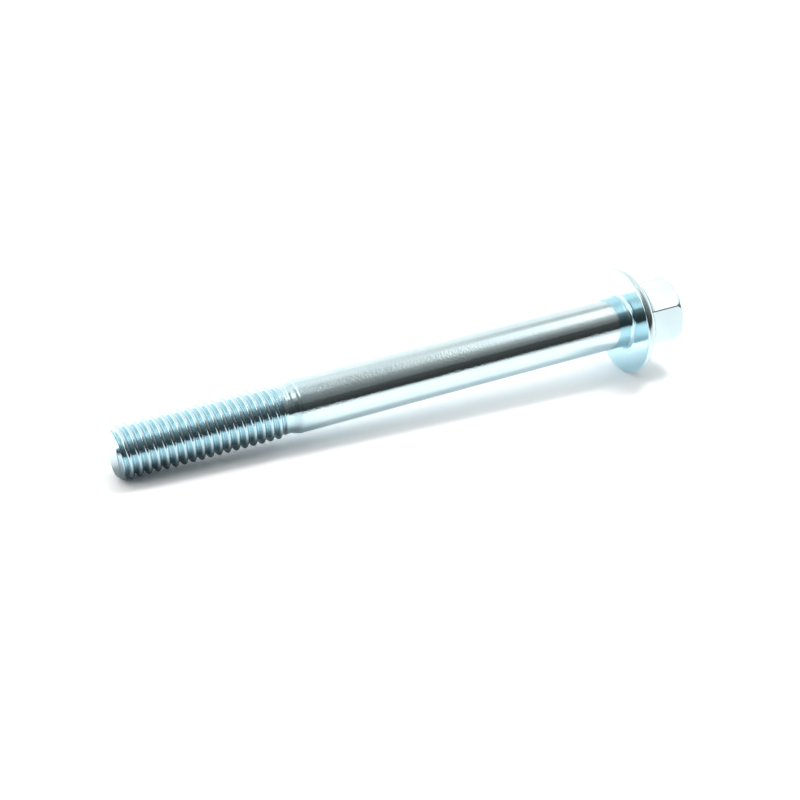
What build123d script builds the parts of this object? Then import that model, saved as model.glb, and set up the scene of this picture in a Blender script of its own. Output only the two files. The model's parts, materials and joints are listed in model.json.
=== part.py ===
from build123d import *
from math import atan2, degrees, sqrt
import os

# A hexagon flange screw, cold-formed from one piece of steel, lying on a level surface.
# It is drawn upright on the Z axis, with the flange's bearing face at height 0, the head above it and
# the shank below. It is then laid down on the rim of its flange and the crests of its thread.
# The threaded length is a plain rod over the crests: the groove of the fine thread belongs to its looks.

# Driving dimensions, in millimetres.
length_under_head = 79.5
shank_diameter = 7.8
fillet_under_head = 0.55

thread_diameter = 7.8
thread_length = 24.3
thread_runout = 1.25
end_face_diameter = 6.3
end_chamfer_length = 0.8

neck_diameter = 7.0
neck_cone_length = 1.7

flange_diameter = 16.2
flange_edge_round = 0.2
flange_rim_thickness = 0.85
flange_dome_radius = 6.5
flange_dome_top_diameter = 8.4
flange_dome_top_height = 3.19

hexagon_across_flats = 9.6
head_height = 8.2
head_end_diameter = 9.9
corner_round_length = 1.25
corner_round_radius = 2.5

# Values that follow from them.
shank_radius = shank_diameter / 2
thread_radius = thread_diameter / 2
neck_radius = neck_diameter / 2
flange_radius = flange_diameter / 2
end_radius = end_face_diameter / 2
head_end_radius = head_end_diameter / 2
hexagon_corner_radius = hexagon_across_flats / sqrt(3)
end_height = -length_under_head
thread_top = end_height + thread_length
cone_top = thread_top + neck_cone_length


def turned(outline):
    """Returns the solid of revolution of a closed outline, drawn as radius across and height up."""
    return revolve(Plane.XZ * make_face(outline), Axis.Z)


def shank_and_flange():
    """Returns the threaded rod, the neck, the plain shank, the fillet under the head and the flange."""
    rod = Polyline(
        (0, end_height),
        (end_radius, end_height),
        (thread_radius, end_height + end_chamfer_length),
        (thread_radius, thread_top - thread_runout),
        (neck_radius, thread_top),
        (shank_radius, cone_top),
        (shank_radius, -fillet_under_head),
    )
    fillet_arc = TangentArc(
        rod @ 1, (shank_radius + fillet_under_head, 0), tangent=(0, 1)
    )
    bearing = Line(fillet_arc @ 1, (flange_radius - flange_edge_round, 0))
    edge_arc = TangentArc(
        bearing @ 1, (flange_radius, flange_edge_round), tangent=(1, 0)
    )
    rim = Line(edge_arc @ 1, (flange_radius, flange_rim_thickness))
    dome_top = (flange_dome_top_diameter / 2, flange_dome_top_height)
    dome = RadiusArc(rim @ 1, dome_top, -flange_dome_radius)
    top = Polyline(dome @ 1, (0, flange_dome_top_height), (0, end_height))
    return turned(rod + fillet_arc + bearing + edge_arc + rim + dome + top)


def hexagon():
    """Returns the hexagon, with its corners rounded over at the end of the head."""
    foot = flange_rim_thickness
    outline = RegularPolygon(hexagon_corner_radius, 6)
    prism = Pos(0, 0, foot) * extrude(outline, head_height - foot)
    round_start = head_height - corner_round_length
    side = Polyline(
        (0, foot), (hexagon_corner_radius, foot), (hexagon_corner_radius, round_start)
    )
    corner = RadiusArc(side @ 1, (head_end_radius, head_height), -corner_round_radius)
    end = Polyline(corner @ 1, (0, head_height), (0, foot))
    return prism & turned(side + corner + end)


def laid_down(screw):
    """Returns the screw laid on its flange and thread, with its box centred over the origin."""
    contact_span = length_under_head - end_chamfer_length + flange_edge_round
    tilt = degrees(atan2(flange_radius - thread_radius, contact_span))
    lying = Rot(0, 90 - tilt, 0) * screw
    box = lying.bounding_box()
    middle = box.center()
    print("axis rises", round(tilt, 4), "degrees towards the head")
    print("bearing face centre", -middle.X, -middle.Y, -box.min.Z)
    return Pos(-middle.X, -middle.Y, -box.min.Z) * lying


screw = laid_down(shank_and_flange() + hexagon())
os.makedirs("parts", exist_ok=True)
export_step(screw, "parts/flange_screw.step")
print("volume", round(screw.volume, 2), "solids", len(screw.solids()))
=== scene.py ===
import json
from math import atan, atan2, cos, hypot, pi, radians, sin, sqrt, tan

import bmesh
import bpy
from mathutils import Matrix, Vector


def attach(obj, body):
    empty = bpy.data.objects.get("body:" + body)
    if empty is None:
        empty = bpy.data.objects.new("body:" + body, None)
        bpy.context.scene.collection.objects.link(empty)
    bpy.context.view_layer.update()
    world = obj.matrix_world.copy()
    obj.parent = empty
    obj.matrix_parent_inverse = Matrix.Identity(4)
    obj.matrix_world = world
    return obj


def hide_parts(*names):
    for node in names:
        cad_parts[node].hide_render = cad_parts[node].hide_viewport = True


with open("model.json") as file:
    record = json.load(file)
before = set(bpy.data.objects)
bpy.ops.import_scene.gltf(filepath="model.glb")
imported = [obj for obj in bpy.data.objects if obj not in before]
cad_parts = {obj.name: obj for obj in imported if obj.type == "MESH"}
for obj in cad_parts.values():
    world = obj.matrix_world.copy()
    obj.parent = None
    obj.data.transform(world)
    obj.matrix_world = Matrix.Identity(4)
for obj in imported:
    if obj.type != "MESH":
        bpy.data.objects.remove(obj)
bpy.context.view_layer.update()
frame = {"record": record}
mounts = {mount["name"]: mount for mount in frame["record"]["mounts"]}
print("frame loaded")


def deselectAll():
    if bpy.context.object and bpy.context.object.mode == "EDIT":
        bpy.ops.object.mode_set(mode="OBJECT")
    bpy.ops.object.select_all(action="DESELECT")


def editShape():
    bpy.ops.object.mode_set(mode="EDIT")
    bpy.ops.mesh.select_mode(type="VERT")


# selects the corners of the mesh in hand that lie where isThere(place) says
def selectWhere(isThere):
    bpy.ops.mesh.select_all(action="DESELECT")
    shape = bmesh.from_edit_mesh(bpy.context.object.data)
    for corner in shape.verts:
        corner.select = isThere(corner.co)
    shape.select_flush(True)
    bmesh.update_edit_mesh(bpy.context.object.data)


# lays the selected loop on an outline, which gives a radius and a height at each turn about the axis
def placeLoop(outlineAt):
    shape = bmesh.from_edit_mesh(bpy.context.object.data)
    for corner in shape.verts:
        if corner.select:
            turn = atan2(corner.co.y, corner.co.x)
            radius, height = outlineAt(turn)
            corner.co = (radius * cos(turn), radius * sin(turn), height)
    bmesh.update_edit_mesh(bpy.context.object.data)


def growLoop(outlineAt):
    bpy.ops.mesh.extrude_region_move()
    placeLoop(outlineAt)


def growRound(radius, height):
    growLoop(lambda turn: (radius, height))


def easeInOut(share):
    share = min(1, max(0, share))
    return share * share * (3 - 2 * share)


# spreads a value's stretch from low to high over start to end
def addSpread(tree, value, low, high, start=0, end=1):
    spread = tree.nodes.new("ShaderNodeMapRange")
    spread.inputs["From Min"].default_value = low
    spread.inputs["From Max"].default_value = high
    spread.inputs["To Min"].default_value = start
    spread.inputs["To Max"].default_value = end
    tree.links.new(value, spread.inputs["Value"])
    return spread.outputs["Result"]


# mixes two colours, each a fixed one or what another node gives
def addMix(tree, factor, first, second):
    mix = tree.nodes.new("ShaderNodeMix")
    mix.data_type = "RGBA"
    tree.links.new(factor, mix.inputs["Factor"])
    for socket, colour in (("A", first), ("B", second)):
        if isinstance(colour, tuple):
            mix.inputs[socket].default_value = (*colour, 1)
        else:
            tree.links.new(colour, mix.inputs[socket])
    return mix.outputs["Result"]


# a gradient through pairs of a place and a level, read at a share of the way from low to high
def addGradient(tree, share, levels, low, high, tint=(1, 1, 1)):
    ramp = tree.nodes.new("ShaderNodeValToRGB")
    tree.links.new(share, ramp.inputs["Fac"])
    stops = ramp.color_ramp.elements
    while len(stops) < len(levels):
        stops.new(0.5)
    for stop, (place, level) in zip(stops, levels):
        stop.position = (place - low) / (high - low)
        stop.color = (*(level * part for part in tint), 1)
    return ramp.outputs["Color"]


# the screw, drawn upright in millimetres: the bearing face at height 0, the head above it
screwSize = {
    "lengthUnderHead": 79.5,
    "shankRadius": 3.9,
    "filletUnderHead": 0.55,
    "threadLength": 24.3,
    "threadPitch": 1.25,
    "crestRadius": 3.9,
    "crestRounding": 0.36,
    "rootRounding": 0.11,
    "runoutStart": 23.0,  # from the free end
    "runoutEnd": 24.6,
    "neckRadius": 3.5,
    "neckLength": 0.15,
    "neckConeLength": 1.6,
    "endRadius": 3.15,
    "endChamferLength": 0.8,
    "endEdgeRounding": 0.06,
    "chamferBlend": 0.1,  # how near the chamfer the thread begins to bend towards it
    "flangeRadius": 8.1,
    "flangeEdgeRounding": 0.27,
    "rimTaper": 0.08,
    "rimTopRadius": 7.5,  # where the rim's curve meets the dome
    "domeRadius": 6.5,
    "domeMiddleRadius": 3.016,
    "domeMiddleHeight": -3.2,
    "acrossFlats": 9.6,
    "hexCornerRounding": 0.28,
    "hexFootRounding": 0.45,
    "hexEdgeRounding": 0.07,
    "headHeight": 8.2,
    "headEndRadius": 4.95,
    "cornerRoundLength": 1.25,
    "cornerRoundRadius": 2.5,

    # how finely it is drawn
    "threadSteps": 96,
    "threadRoundingSteps": 6,
    "cornerSteps": 8,
    "flatSteps": 20,
    "filletSteps": 8,
    "edgeSteps": 6,
    "rimSteps": 12,
    "domeSteps": 16,
    "endSteps": 10,
    "coneSteps": 12,
    "seamWidth": 0.12,  # kept flat on the bearing face, beside its inner and outer edges
    "bandWidth": 0.3,  # from the cone and the fillet to the shank's own loops
    "sideMargin": 0.15,  # from the hexagon's foot to the first loop of its sides
    "domeMargin": 0.05,  # from the rim and the hexagon's foot to the dome's own loops
    "samePlace": 0.0005,  # corners nearer than this count as one
    "smoothAngle": 35,
}


# one pitch of the thread's section, from the middle of one flank to the middle of the next
def addThreadSection(firstCrest):
    size = screwSize
    pitch = size["threadPitch"]
    sharpDepth = pitch * cos(radians(30))  # a 60 degree V, before its tips are rounded
    roundedOff = 0.879 * size["crestRounding"]  # what the rounding takes off a 60 degree tip
    crestTip = size["crestRadius"] + roundedOff
    bpy.ops.mesh.primitive_plane_add(size=0.1, location=(0, 0, 0))
    section = bpy.context.object
    section.name = "threadSection"
    editShape()
    bpy.ops.mesh.merge(type="CENTER")
    bpy.ops.transform.translate(value=(crestTip - sharpDepth / 2, 0, firstCrest - pitch / 4))
    for step in (
        (sharpDepth / 2, 0, pitch / 4),
        (-sharpDepth, 0, pitch / 2),
        (sharpDepth / 2, 0, pitch / 4),
    ):
        bpy.ops.mesh.extrude_vertices_move(TRANSFORM_OT_translate={"value": step})
    for tip, rounding in ((crestTip, "crestRounding"), (crestTip - sharpDepth, "rootRounding")):
        selectWhere(lambda place: abs(place.x - tip) < size["samePlace"])
        bpy.ops.mesh.bevel(
            affect="VERTICES",
            offset=size[rounding] / tan(radians(30)),
            segments=size["threadRoundingSteps"],
            profile=0.5,
        )
    bpy.ops.object.mode_set(mode="OBJECT")
    return section


# the thread dies out towards the neck, and its crests follow the chamfer at the free end
def shapeThreadEnds(thread):
    size = screwSize
    freeEnd = -size["lengthUnderHead"]
    chamferSlope = (size["crestRadius"] - size["endRadius"]) / size["endChamferLength"]
    reach = size["chamferBlend"]
    for corner in thread.data.vertices:
        radius = hypot(corner.co.x, corner.co.y)
        height = corner.co.z - freeEnd
        fade = easeInOut((height - size["runoutStart"]) / (size["runoutEnd"] - size["runoutStart"]))
        wanted = radius + (size["neckRadius"] - radius) * fade
        chamfer = size["endRadius"] + chamferSlope * height
        if chamfer < wanted + reach:
            blend = min(1, (wanted + reach - chamfer) / (2 * reach))
            wanted = wanted + (chamfer - wanted) * blend - reach / 2 * blend * (1 - blend)
        corner.co.x *= wanted / radius
        corner.co.y *= wanted / radius


def makeThread():
    size = screwSize
    pitch = size["threadPitch"]
    freeEnd = -size["lengthUnderHead"]
    thread = addThreadSection(freeEnd - 1.5 * pitch)
    turning = thread.modifiers.new("turns", "SCREW")
    turning.axis = "Z"
    turning.angle = 2 * pi
    turning.screw_offset = pitch
    turning.iterations = int(size["threadLength"] / pitch) + 4  # the spare turns are cut off below
    turning.steps = size["threadSteps"]
    turning.render_steps = size["threadSteps"]
    bpy.ops.object.modifier_apply(modifier="turns")
    editShape()
    bpy.ops.mesh.select_all(action="SELECT")
    bpy.ops.mesh.remove_doubles(threshold=size["samePlace"])
    bpy.ops.object.mode_set(mode="OBJECT")
    shapeThreadEnds(thread)
    editShape()
    top = freeEnd + size["runoutEnd"] + 0.02
    bottom = freeEnd + size["endEdgeRounding"]
    bpy.ops.mesh.select_all(action="SELECT")
    bpy.ops.mesh.bisect(plane_co=(0, 0, top), plane_no=(0, 0, 1), clear_outer=True)
    bpy.ops.mesh.select_all(action="SELECT")
    bpy.ops.mesh.bisect(plane_co=(0, 0, bottom), plane_no=(0, 0, 1), clear_inner=True)
    print("thread turned")
    return thread, top, bottom


# the free end's face, with its edge just broken
def closeFreeEnd(bottom):
    size = screwSize
    freeEnd = -size["lengthUnderHead"]
    rounding = size["endEdgeRounding"]
    edge = size["endRadius"]
    selectWhere(lambda place: abs(place.z - bottom) < size["samePlace"])
    cut = 0.3 * rounding  # half way round the edge
    growRound(edge - cut, freeEnd + cut)
    growRound(edge - rounding, freeEnd)
    growRound(edge - 2 * rounding, freeEnd)
    for share in (0.7, 0.4, 0.15):
        growRound(edge * share, freeEnd)
    bpy.ops.mesh.merge(type="CENTER")


# the neck, its cone, the plain shank and the fillet, grown from the thread's last loop
def growShank(top):
    size = screwSize
    neck, shank, fillet = size["neckRadius"], size["shankRadius"], size["filletUnderHead"]
    selectWhere(lambda place: abs(place.z - top) < size["samePlace"])
    coneStart = top + size["neckLength"]
    growRound(neck, coneStart)
    for step in range(1, size["coneSteps"] + 1):
        share = step / size["coneSteps"]
        growRound(neck + (shank - neck) * easeInOut(share), coneStart + size["neckConeLength"] * share)
    growRound(shank, coneStart + size["neckConeLength"] + size["bandWidth"])
    growRound(shank, -fillet - size["bandWidth"])
    for step in range(size["filletSteps"] + 1):
        bend = pi / 2 * step / size["filletSteps"]
        growRound(shank + fillet * (1 - cos(bend)), -fillet * (1 - sin(bend)))
    growRound(shank + fillet + size["seamWidth"], 0)


# the hexagon's outline: its radius at a turn about the axis, with a corner at turn 0
def hexagonRadius(turn):
    size = screwSize
    rounding = size["hexCornerRounding"]
    reach = (size["acrossFlats"] / 2 - rounding) / cos(pi / 6)  # middle of a corner's rounding
    fromCorner = abs((turn + pi / 6) % (pi / 3) - pi / 6)
    if fromCorner < hexagonCornerTurn():
        return reach * cos(fromCorner) + sqrt(rounding**2 - (reach * sin(fromCorner)) ** 2)
    return size["acrossFlats"] / 2 / cos(pi / 6 - fromCorner)


# the turn from a corner to where its rounding ends
def hexagonCornerTurn():
    size = screwSize
    rounding = size["hexCornerRounding"]
    reach = (size["acrossFlats"] / 2 - rounding) / cos(pi / 6)
    return atan2(rounding / 2, reach + rounding * cos(pi / 6))


# the turns of the head's corners, close together round each corner of the hexagon
def headTurns():
    size = screwSize
    corner = hexagonCornerTurn()
    halfFlat = tan(pi / 6 - corner)
    turns = []
    for side in range(6):
        middle = side * pi / 3
        for step in range(size["cornerSteps"]):
            turns.append(middle - corner + 2 * corner * step / size["cornerSteps"])
        for step in range(size["flatSteps"]):
            across = -halfFlat + 2 * halfFlat * step / size["flatSteps"]
            turns.append(middle + pi / 6 + atan(across))
    return turns


# the flange's dome: its height at a radius
def domeHeight(radius):
    size = screwSize
    fromMiddle = radius - size["domeMiddleRadius"]
    return size["domeMiddleHeight"] + sqrt(size["domeRadius"] ** 2 - fromMiddle**2)


def domeSlope(radius):
    size = screwSize
    return atan((radius - size["domeMiddleRadius"]) / (domeHeight(radius) - size["domeMiddleHeight"]))


# the fillet between the dome and the hexagon's side: a point of it, from 0 on the dome to 1 on the side
def hexagonFoot(turn, share):
    rounding = screwSize["hexFootRounding"]
    middle = hexagonRadius(turn) + rounding
    touch = middle
    for again in range(4):
        slope = domeSlope(touch)
        touch = middle - rounding * sin(slope)
    bend = slope + (pi / 2 - slope) * share
    middleHeight = domeHeight(touch) + rounding * cos(slope)
    return middle - rounding * sin(bend), middleHeight - rounding * cos(bend)


# the turned surface that rounds the hexagon's corners over at the head's end: its height at a radius
def endHeight(radius):
    size = screwSize
    inner, outer = size["headEndRadius"], size["acrossFlats"] / sqrt(3)
    low, high = size["headHeight"] - size["cornerRoundLength"], size["headHeight"]
    half = hypot(outer - inner, high - low) / 2
    back = sqrt(size["cornerRoundRadius"] ** 2 - half**2)
    middleRadius = (inner + outer) / 2 - back * (high - low) / (2 * half)
    middleHeight = (low + high) / 2 - back * (outer - inner) / (2 * half)
    if radius <= inner:
        return high
    return middleHeight + sqrt(size["cornerRoundRadius"] ** 2 - (radius - middleRadius) ** 2)


def makeHead():
    size = screwSize
    turns = headTurns()
    bpy.ops.mesh.primitive_circle_add(vertices=len(turns), radius=size["flangeRadius"])
    head = bpy.context.object
    head.name = "head"
    editShape()
    shape = bmesh.from_edit_mesh(head.data)
    shape.verts.ensure_lookup_table()
    inOrder = sorted(shape.verts, key=lambda corner: atan2(corner.co.y, corner.co.x) % (2 * pi))
    for corner, turn in zip(inOrder, sorted(turn % (2 * pi) for turn in turns)):
        corner.co = (size["flangeRadius"] * cos(turn), size["flangeRadius"] * sin(turn), 0)
    bmesh.update_edit_mesh(head.data)
    bpy.ops.mesh.select_all(action="SELECT")

    # the bearing face's outer edge, the rim and the rim's upper edge
    edge, rim = size["flangeEdgeRounding"], size["flangeRadius"]
    placeLoop(lambda turn: (rim - edge - size["seamWidth"], 0))
    for step in range(size["edgeSteps"] + 1):
        bend = pi / 2 * step / size["edgeSteps"]
        growRound(rim - edge * (1 - sin(bend)), edge * (1 - cos(bend)))
    top, taper = size["rimTopRadius"], size["rimTaper"]
    slope = tan(domeSlope(top))
    cornerHeight = domeHeight(top) - slope * (rim - top + taper * edge)
    cornerHeight = cornerHeight / (1 - slope * taper)
    start, corner, end = (
        (rim, edge), (rim - taper * (cornerHeight - edge), cornerHeight), (top, domeHeight(top)),
    )
    for step in range(1, size["rimSteps"] + 1):
        share = step / size["rimSteps"]  # the curve leaves the edge nearly upright and meets the dome
        growRound(*(
            start[i] * (1 - share) ** 2 + 2 * corner[i] * share * (1 - share) + end[i] * share**2
            for i in range(2)
        ))

    # the dome, whose loops pass from the round rim to the hexagon's foot
    def domeLoop(share):
        def outlineAt(turn):
            outer = top - size["domeMargin"]
            inner = hexagonFoot(turn, 0)[0] + size["domeMargin"]
            radius = outer + (inner - outer) * share
            return radius, domeHeight(radius)
        return outlineAt

    for step in range(size["domeSteps"] + 1):
        growLoop(domeLoop(step / size["domeSteps"]))

    # the fillet at the foot, the sides and the edge where they meet the rounded end
    for step in range(size["filletSteps"] + 1):
        growLoop(lambda turn: hexagonFoot(turn, step / size["filletSteps"]))
    growLoop(lambda turn: (hexagonRadius(turn), hexagonFoot(turn, 1)[1] + size["sideMargin"]))
    edge = size["hexEdgeRounding"]
    growLoop(lambda turn: (hexagonRadius(turn), endHeight(hexagonRadius(turn)) - 3 * edge))
    for across, down in ((0, 1), (0.08, 0.55), (0.35, 0.15), (1, 0)):
        growLoop(lambda turn: (
            hexagonRadius(turn) - across * edge,
            endHeight(hexagonRadius(turn) - across * edge) - down * edge,
        ))

    # the rounded end, drawn in to a plain face
    inner = size["headEndRadius"] - 0.35  # well inside the plain face
    for step in range(1, size["endSteps"] + 1):
        def outlineAt(turn):
            outer = hexagonRadius(turn) - edge
            radius = outer + (inner - outer) * step / size["endSteps"]
            return radius, endHeight(radius)
        growLoop(outlineAt)
    for share in (0.75, 0.5, 0.2):
        growRound(inner * share, size["headHeight"])
    bpy.ops.mesh.merge(type="CENTER")
    bpy.ops.object.mode_set(mode="OBJECT")
    print("head grown")
    return head


# laid on its flange and thread, in metres, where the record's mounts say
def layDown(screw):
    axis = Vector(mounts["hexagon"]["axis"]).normalized()
    onAxis = Vector(mounts["hexagon"]["pos_m"])
    onFace = Vector(mounts["bearing_face"]["pos_m"])
    faceMiddle = onAxis - axis * (onAxis - onFace).dot(axis)
    across = Vector((0, 1, 0))
    down = across.cross(axis)
    turned = Matrix((down, across, axis)).transposed().to_4x4()
    screw.matrix_world = Matrix.Translation(faceMiddle) @ turned @ Matrix.Scale(0.001, 4)
    deselectAll()
    screw.select_set(True)
    bpy.context.view_layer.objects.active = screw
    bpy.ops.object.transform_apply(location=True, rotation=True, scale=True)
    return faceMiddle, axis


def makeScrew():
    deselectAll()
    thread, top, bottom = makeThread()
    closeFreeEnd(bottom)
    growShank(top)
    bpy.ops.object.mode_set(mode="OBJECT")
    deselectAll()
    head = makeHead()
    deselectAll()
    head.select_set(True)
    thread.select_set(True)
    bpy.context.view_layer.objects.active = thread
    bpy.ops.object.join()
    screw = bpy.context.object
    screw.name = "flangeScrew"
    editShape()
    size = screwSize
    seam, same = size["seamWidth"], size["samePlace"]
    inner = size["shankRadius"] + size["filletUnderHead"] + seam
    outer = size["flangeRadius"] - size["flangeEdgeRounding"] - seam
    clear = 5  # the head is held clear for the bridge, so that the two loops pair up the same way round

    def onLoop(place, radius, height):
        return abs(place.z - height) < same and abs(hypot(place.x, place.y) - radius) < same

    def onHead(place):
        return place.z > same or place.z > -same and hypot(place.x, place.y) > inner + same

    selectWhere(onHead)
    bpy.ops.transform.translate(value=(0, 0, clear))
    selectWhere(lambda place: onLoop(place, inner, 0) or onLoop(place, outer, clear))
    bpy.ops.mesh.bridge_edge_loops()
    selectWhere(lambda place: place.z > clear - same)
    bpy.ops.transform.translate(value=(0, 0, -clear))
    bpy.ops.mesh.select_all(action="SELECT")
    bpy.ops.mesh.remove_doubles(threshold=same)
    bpy.ops.mesh.normals_make_consistent(inside=False)
    bpy.ops.object.mode_set(mode="OBJECT")
    bpy.ops.object.shade_smooth_by_angle(angle=radians(size["smoothAngle"]))
    print("screw joined")
    return screw


screw = makeScrew()
faceMiddle, screwAxis = layDown(screw)


# bright zinc, passivated a pale blue; sizes and distances from the bearing face are in metres
zincLook = {
    "colour": (0.63, 0.77, 0.80),
    "colourDeep": (0.59, 0.74, 0.78),
    "reflectionTintColour": (0.54, 0.75, 0.82),  # painted reflection tint: bluer on the thread and under the head, standing in for the darker teal of light bounced between the thread's flanks and between head and shank
    "reflectionTintEnds": ((-0.056, 1), (-0.050, 0), (-0.003, 0), (-0.0005, 1), (0.0001, 1), (0.0003, 0)),
    "screwEnds": (-0.080, 0.009),
    "threadToShank": (-0.0565, -0.0550),
    "cloudSize": 0.003,
    "roughness": (0.07, 0.12),
    "roughnessPatches": 0.0012,
    "threadRoughness": 0.15,
    "grainSize": 0.00035,
    "grainDepth": 0.000024,
    "grainPatches": 0.009,
    "grainLevels": (0.15, 1),  # between the patches and in them
    "waveSize": 0.004,
    "waveDepth": 0.000012,
}


def makeZincPlate():
    look = zincLook
    zinc = bpy.data.materials.new("zincPlate")
    zinc.use_nodes = True
    tree = zinc.node_tree
    nodes, links = tree.nodes, tree.links
    shader = nodes["Principled BSDF"]
    shader.inputs["Metallic"].default_value = 1
    place = nodes.new("ShaderNodeTexCoord").outputs["Object"]

    def noise(size, detail=2.0, roughness=0.5):
        cloud = nodes.new("ShaderNodeTexNoise")
        cloud.inputs["Scale"].default_value = 1 / size
        cloud.inputs["Detail"].default_value = detail
        cloud.inputs["Roughness"].default_value = roughness
        links.new(place, cloud.inputs["Vector"])
        return cloud.outputs["Fac"]

    def patches(size, start, end, detail=2.0, roughness=0.5):
        return addSpread(tree, noise(size, detail, roughness), 0.35, 0.65, start, end)

    # how far along the screw, in metres
    along = nodes.new("ShaderNodeVectorMath")
    along.operation = "DOT_PRODUCT"
    along.inputs[1].default_value = screwAxis
    links.new(place, along.inputs[0])
    fromFace = screwAxis.dot(faceMiddle)
    low, high = look["screwEnds"]
    share = addSpread(tree, along.outputs["Value"], fromFace + low, fromFace + high)
    # painted reflection: a bluer tint along the thread and at the fillet under the head
    reflectionTintShare = addGradient(tree, share, look["reflectionTintEnds"], low, high)
    cloudy = addMix(tree, patches(look["cloudSize"], 0, 1, 4.0), look["colour"], look["colourDeep"])
    links.new(addMix(tree, reflectionTintShare, cloudy, look["reflectionTintColour"]), shader.inputs["Base Color"])

    threadEnds, shankStarts = (fromFace + distance for distance in look["threadToShank"])
    rough = nodes.new("ShaderNodeMix")
    links.new(
        addSpread(tree, along.outputs["Value"], threadEnds, shankStarts, 1, 0), rough.inputs["Factor"]
    )
    links.new(patches(look["roughnessPatches"], *look["roughness"], 6.0, 0.6), rough.inputs["A"])
    rough.inputs["B"].default_value = look["threadRoughness"]
    links.new(rough.outputs["Result"], shader.inputs["Roughness"])

    waves = nodes.new("ShaderNodeBump")
    waves.inputs["Strength"].default_value = 1
    waves.inputs["Distance"].default_value = look["waveDepth"]
    links.new(noise(look["waveSize"]), waves.inputs["Height"])
    speckle = nodes.new("ShaderNodeMath")
    speckle.operation = "MULTIPLY"
    links.new(noise(look["grainSize"], 3.0), speckle.inputs[0])
    links.new(patches(look["grainPatches"], *look["grainLevels"]), speckle.inputs[1])
    grain = nodes.new("ShaderNodeBump")
    grain.inputs["Strength"].default_value = 1
    grain.inputs["Distance"].default_value = look["grainDepth"]
    links.new(speckle.outputs[0], grain.inputs["Height"])
    links.new(waves.outputs["Normal"], grain.inputs["Normal"])
    links.new(grain.outputs["Normal"], shader.inputs["Normal"])
    return zinc


screw.data.materials.clear()
screw.data.materials.append(makeZincPlate())
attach(screw, "root")
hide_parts("flange_screw")
print("zinc plate laid on")


# the studio: a white floor under an open, softly lit room
studio = {
    "floorSize": 4.0,
    "floorColour": (0.93, 0.93, 0.94),
    "floorForCamera": 1.34,  # keeps the paper white where the camera sees it
    "lightTint": (1.03, 1.0, 0.98),
    "lampPlace": (0.42, 0.15, 1.10),
    "lampSize": (0.2, 0.5),
    "lampPower": 4.5,
}

# painted light and shade on the paper, seen only in the metal: its brightness at places from front to
# back, in metres from the screw, darker far in front, with a painted contact shadow under the thread
# and brighter behind
paintedPaperUnderShank = (
    (-0.20, 0.34), (-0.06, 0.95), (-0.035, 1.20), (-0.015, 1.50), (-0.006, 1.50), (-0.001, 1.30),
    (0.006, 1.60), (0.02, 1.85),
)
paintedPaperUnderThread = (
    (-0.20, 0.26), (-0.06, 0.80), (-0.035, 0.95), (-0.015, 1.20), (-0.008, 1.10), (-0.0055, 0.60),
    (-0.003, 0.38), (0.002, 0.45), (0.006, 1.20), (0.02, 1.85),
)
paintedPaperBeyondHead = (
    (-0.20, 0.28), (-0.06, 0.76), (-0.035, 0.98), (-0.015, 1.18), (-0.006, 1.18), (0.02, 1.35),
)
# each part of the painted paper, and between which places along the screw it takes over
paintedPaperParts = (
    (paintedPaperUnderThread, -0.012, -0.022),
    (paintedPaperBeyondHead, 0.044, 0.052),
)

# the room's brightness at angles from straight up: -90 is the horizon behind the screw, 90 in front
roomFarLeft = (
    (-90, 1.60), (-43, 1.50), (-20, 1.90), (-5, 2.20), (12, 2.00), (20, 0.90), (28, 0.34),
    (45, 0.16), (60, 0.09), (78, 0.05),
)
roomLeft = (
    (-90, 1.90), (-50, 1.80), (-40, 1.55), (-32, 1.00), (-25, 0.62), (-15, 0.45), (-5, 0.36),
    (5, 0.28), (15, 0.23), (25, 0.19), (35, 0.15), (45, 0.11), (60, 0.07), (75, 0.05),
)
roomOverThread = (
    (-90, 1.55), (-50, 1.40), (-25, 1.30), (-8, 1.60), (8, 2.05), (20, 1.90), (26, 1.15),
    (31, 0.54), (38, 0.31), (45, 0.20), (55, 0.10), (65, 0.06), (80, 0.04),
)
roomMiddle = (
    (-90, 1.55), (-70, 1.35), (-50, 1.27), (-38, 1.05), (-31, 1.15), (-20, 1.13), (-13, 0.97),
    (-8, 0.79), (-2, 0.60), (5, 0.53), (17, 0.43), (27, 0.31), (37, 0.26), (52, 0.21), (57, 0.17),
    (62, 0.11), (67, 0.085), (72, 0.08), (80, 0.045),
)
roomRight = (
    (-90, 1.55), (-60, 1.22), (-45, 1.18), (-38, 1.08), (-32, 0.80), (-26, 0.70), (-20, 0.72),
    (-14, 1.00), (-7, 1.60), (10, 1.65), (17, 1.35), (22, 1.08), (27, 0.80), (33, 0.54),
    (38, 0.42), (43, 0.31), (52, 0.22), (56, 0.12), (62, 0.075), (70, 0.07), (80, 0.05),
)
roomFarRight = (
    (-90, 1.30), (-60, 1.10), (-43, 1.10), (-20, 1.20), (-10, 1.10), (0, 0.70),
    (8, 0.50), (15, 0.42), (30, 0.30), (45, 0.20), (60, 0.12), (78, 0.07),
)
# each part of the room, and between which places across it takes over from the part before
roomParts = (
    (roomLeft, -0.78, -0.68),
    (roomOverThread, -0.62, -0.50),
    (roomMiddle, -0.36, -0.30),
    (roomOverThread, -0.06, 0.00),
    (roomMiddle, 0.16, 0.22),
    (roomRight, 0.26, 0.42),
    (roomFarRight, 0.49, 0.56),
)


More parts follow.
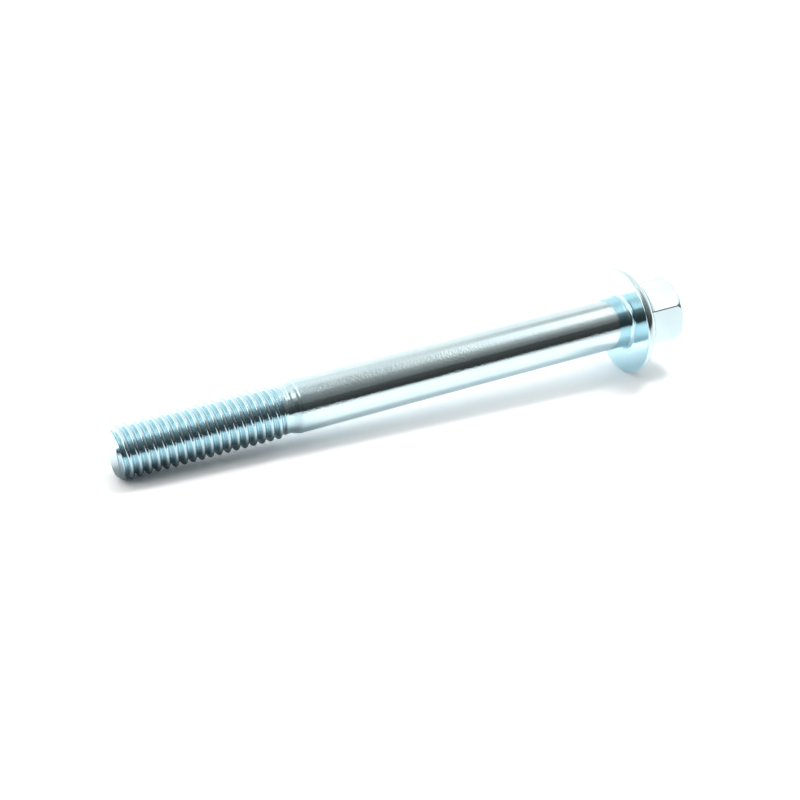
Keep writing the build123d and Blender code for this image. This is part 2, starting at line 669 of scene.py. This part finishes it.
def makeFloor():
    deselectAll()
    bpy.ops.mesh.primitive_grid_add(x_subdivisions=4, y_subdivisions=4, size=studio["floorSize"])
    floor = bpy.context.object
    floor.name = "floor"
    paper = bpy.data.materials.new("floorPaper")
    paper.use_nodes = True
    tree = paper.node_tree
    nodes, links = tree.nodes, tree.links
    shader = nodes["Principled BSDF"]
    shader.inputs["Roughness"].default_value = 0.9
    shader.inputs["Specular IOR Level"].default_value = 0
    path = nodes.new("ShaderNodeLightPath")
    white = studio["floorColour"]

    across = nodes.new("ShaderNodeSeparateXYZ")
    links.new(nodes.new("ShaderNodeTexCoord").outputs["Object"], across.inputs[0])

    # painted light and shade on the paper, as the metal sees it
    def paintedPaperInMetal(gains):
        front, back = gains[0][0], gains[-1][0]
        share = addSpread(tree, across.outputs["Y"], front, back)
        return addGradient(tree, share, gains, front, back, white)

    paintedInMetal = paintedPaperInMetal(paintedPaperUnderShank)
    for gains, start, end in paintedPaperParts:
        part = addSpread(tree, across.outputs["X"], start, end)
        paintedInMetal = addMix(tree, part, paintedInMetal, paintedPaperInMetal(gains))
    # glossy rays see the painted paper, all other rays the plain white
    paintedAroundScrew = addMix(tree, path.outputs["Is Glossy Ray"], white, paintedInMetal)
    forCamera = tuple(part * studio["floorForCamera"] for part in white)
    links.new(
        addMix(tree, path.outputs["Is Camera Ray"], paintedAroundScrew, forCamera), shader.inputs["Base Color"]
    )
    floor.data.materials.append(paper)


def makeLamp():
    place = Vector(studio["lampPlace"])
    turned = place.to_track_quat("Z", "Y").to_euler()
    bpy.ops.object.light_add(type="AREA", location=place, rotation=turned)
    lamp = bpy.context.object
    lamp.name = "softLamp"
    lamp.data.shape = "RECTANGLE"
    lamp.data.size, lamp.data.size_y = studio["lampSize"]
    lamp.data.energy = studio["lampPower"]
    lamp.visible_glossy = False  # the metal sees the room's own bright patch instead


def makeRoom():
    room = bpy.data.worlds.new("room")
    bpy.context.scene.world = room
    room.use_nodes = True
    tree = room.node_tree
    nodes, links = tree.nodes, tree.links
    background = nodes["Background"]
    direction = nodes.new("ShaderNodeSeparateXYZ")
    links.new(nodes.new("ShaderNodeTexCoord").outputs["Generated"], direction.inputs[0])
    front = nodes.new("ShaderNodeMath")
    front.operation = "MULTIPLY"
    front.inputs[1].default_value = -1
    links.new(direction.outputs["Y"], front.inputs[0])
    angle = nodes.new("ShaderNodeMath")
    angle.operation = "ARCTAN2"
    links.new(front.outputs[0], angle.inputs[0])
    links.new(direction.outputs["Z"], angle.inputs[1])
    share = addSpread(tree, angle.outputs[0], -pi / 2, pi / 2)

    def roomLight(levels):
        return addGradient(tree, share, levels, -90, 90, studio["lightTint"])

    light = roomLight(roomFarLeft)
    for levels, start, end in roomParts:
        part = addSpread(tree, direction.outputs["X"], start, end)
        light = addMix(tree, part, light, roomLight(levels))
    toCamera = nodes.new("ShaderNodeLightPath").outputs["Is Camera Ray"]
    links.new(addMix(tree, toCamera, light, (1, 1, 1)), background.inputs["Color"])


# the camera, placed from the middle of the bearing face
cameraPlace = {
    "lens": 71.0,
    "turn": -25.24,
    "dip": 27.12,
    "back": 0.23909,
    "left": 0.03329,
    "below": 0.01196,
}


def makeCamera():
    turned = (
        Matrix.Rotation(radians(cameraPlace["turn"]), 3, "Z")
        @ Matrix.Rotation(radians(90 - cameraPlace["dip"]), 3, "X")
    )
    offset = Vector((-cameraPlace["left"], -cameraPlace["below"], cameraPlace["back"]))
    bpy.ops.object.camera_add(location=faceMiddle + turned @ offset, rotation=turned.to_euler())
    camera = bpy.context.object
    camera.data.lens = cameraPlace["lens"]
    camera.data.clip_start = 0.01
    bpy.context.scene.camera = camera


makeFloor()
makeLamp()
makeRoom()
makeCamera()
bpy.context.scene.view_settings.view_transform = "Standard"
print("studio set")
